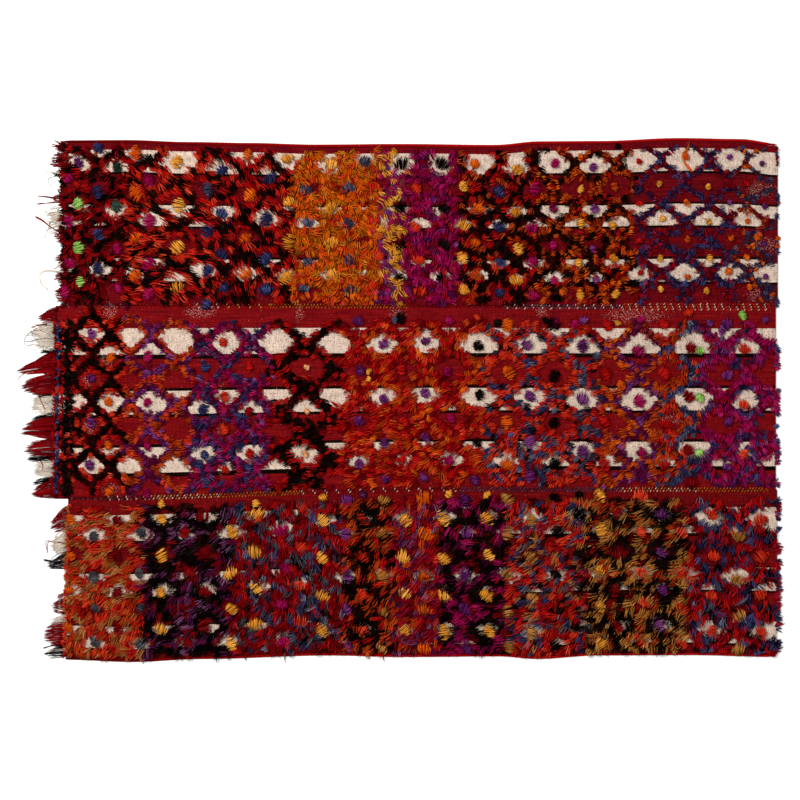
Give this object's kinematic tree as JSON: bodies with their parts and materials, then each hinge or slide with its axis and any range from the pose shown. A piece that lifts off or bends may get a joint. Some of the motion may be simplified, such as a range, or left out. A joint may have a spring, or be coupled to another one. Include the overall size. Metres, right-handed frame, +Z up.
{
  "type": "kilim",
  "caption": "Flat rectangular kilim of striped panels seamed side by side, with a lozenge lattice of knotted pile and a ragged warp fringe at one end.",
  "frame": {"origin": "on the floor, under the middle of the box round the whole rug, fringe included", "axes": "+X along the warp from the fringed end to the turned-under end, +Y across the panels from the near one to the far one, +Z up"},
  "size_m": [2.376, 1.612, 0.016],
  "materials": {
    "panel_wool": "warp-faced wool ground with knotted wool pile, matt",
    "fringe_wool": "loose unplied wool warp ends, matt",
    "selvedge_wool": "wrapped bright red wool cord, matt"
  },
  "bodies": {
    "root": {"panel_far": "panel_wool", "panel_middle": "panel_wool", "panel_near": "panel_wool", "fringe_far": "fringe_wool", "fringe_middle": "fringe_wool", "fringe_near": "fringe_wool", "selvedge_far": "selvedge_wool", "selvedge_near": "selvedge_wool"}
  },
  "joints": []
}
